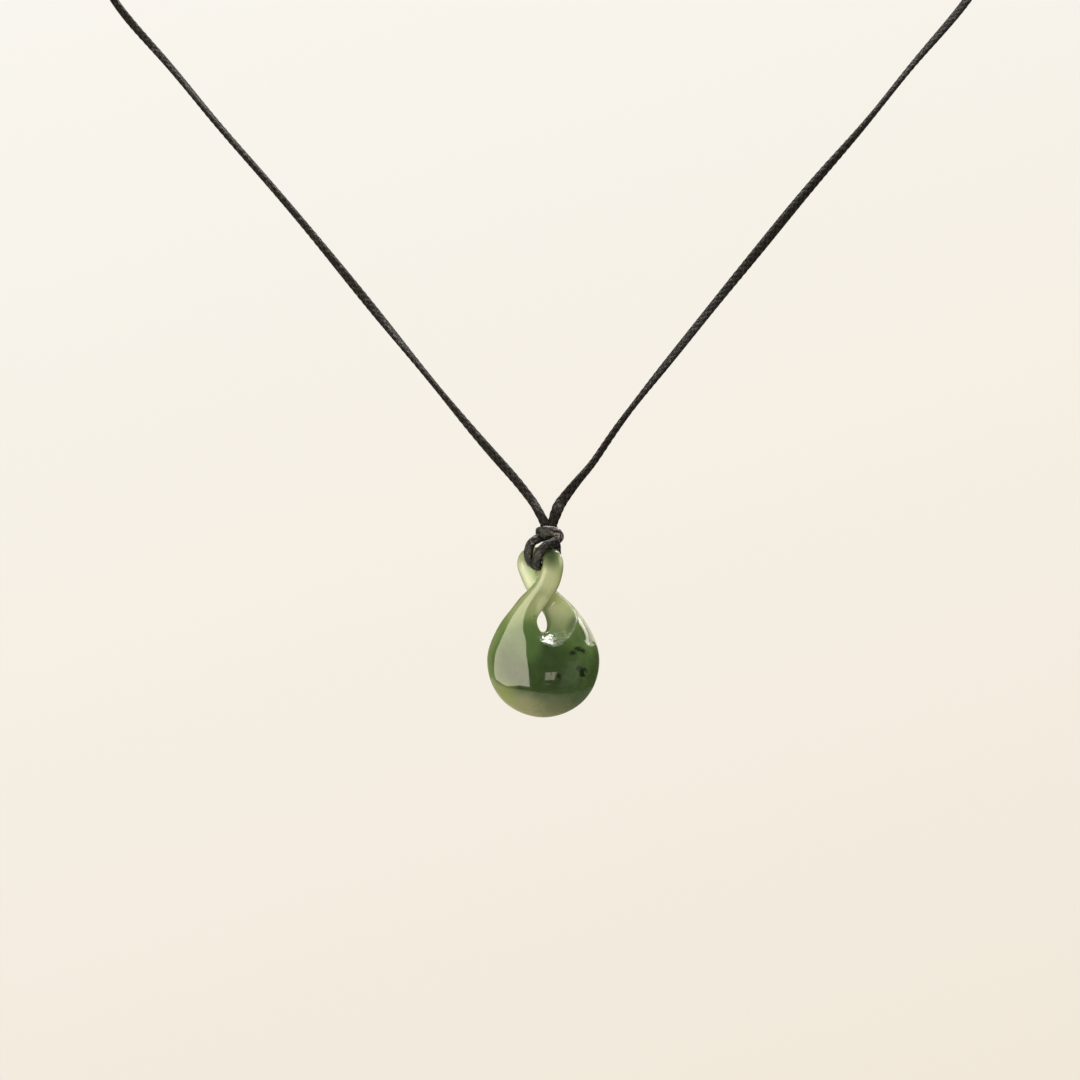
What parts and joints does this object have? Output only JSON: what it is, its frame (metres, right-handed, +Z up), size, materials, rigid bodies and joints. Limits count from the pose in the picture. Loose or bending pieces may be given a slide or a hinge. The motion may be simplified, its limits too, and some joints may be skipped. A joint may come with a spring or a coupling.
{
  "type": "greenstone twist pendant",
  "caption": "Polished greenstone carved as one ring that crosses itself into a narrow eye over a wide drop, hitched to a dark waxed cord worn round the neck.",
  "frame": {"origin": "the nape: the centre of the cord inside its closing knot, where the loop rests at the back of the neck", "axes": "+Z up, -Y the way the pendant faces, +X to the viewer's right"},
  "size_m": [0.155, 0.1258, 0.1518],
  "materials": {
    "greenstone": "high polish, translucent at the thin edges",
    "waxed_cord": "flat waxed braid with a dull sheen",
    "worn_cord": "flat waxed braid, polished and browned where it rubs"
  },
  "bodies": {
    "root": {"greenstone_twist": "greenstone", "neck_cord": "waxed_cord", "hitch_knot": "worn_cord", "closing_knot": "waxed_cord"}
  },
  "joints": []
}
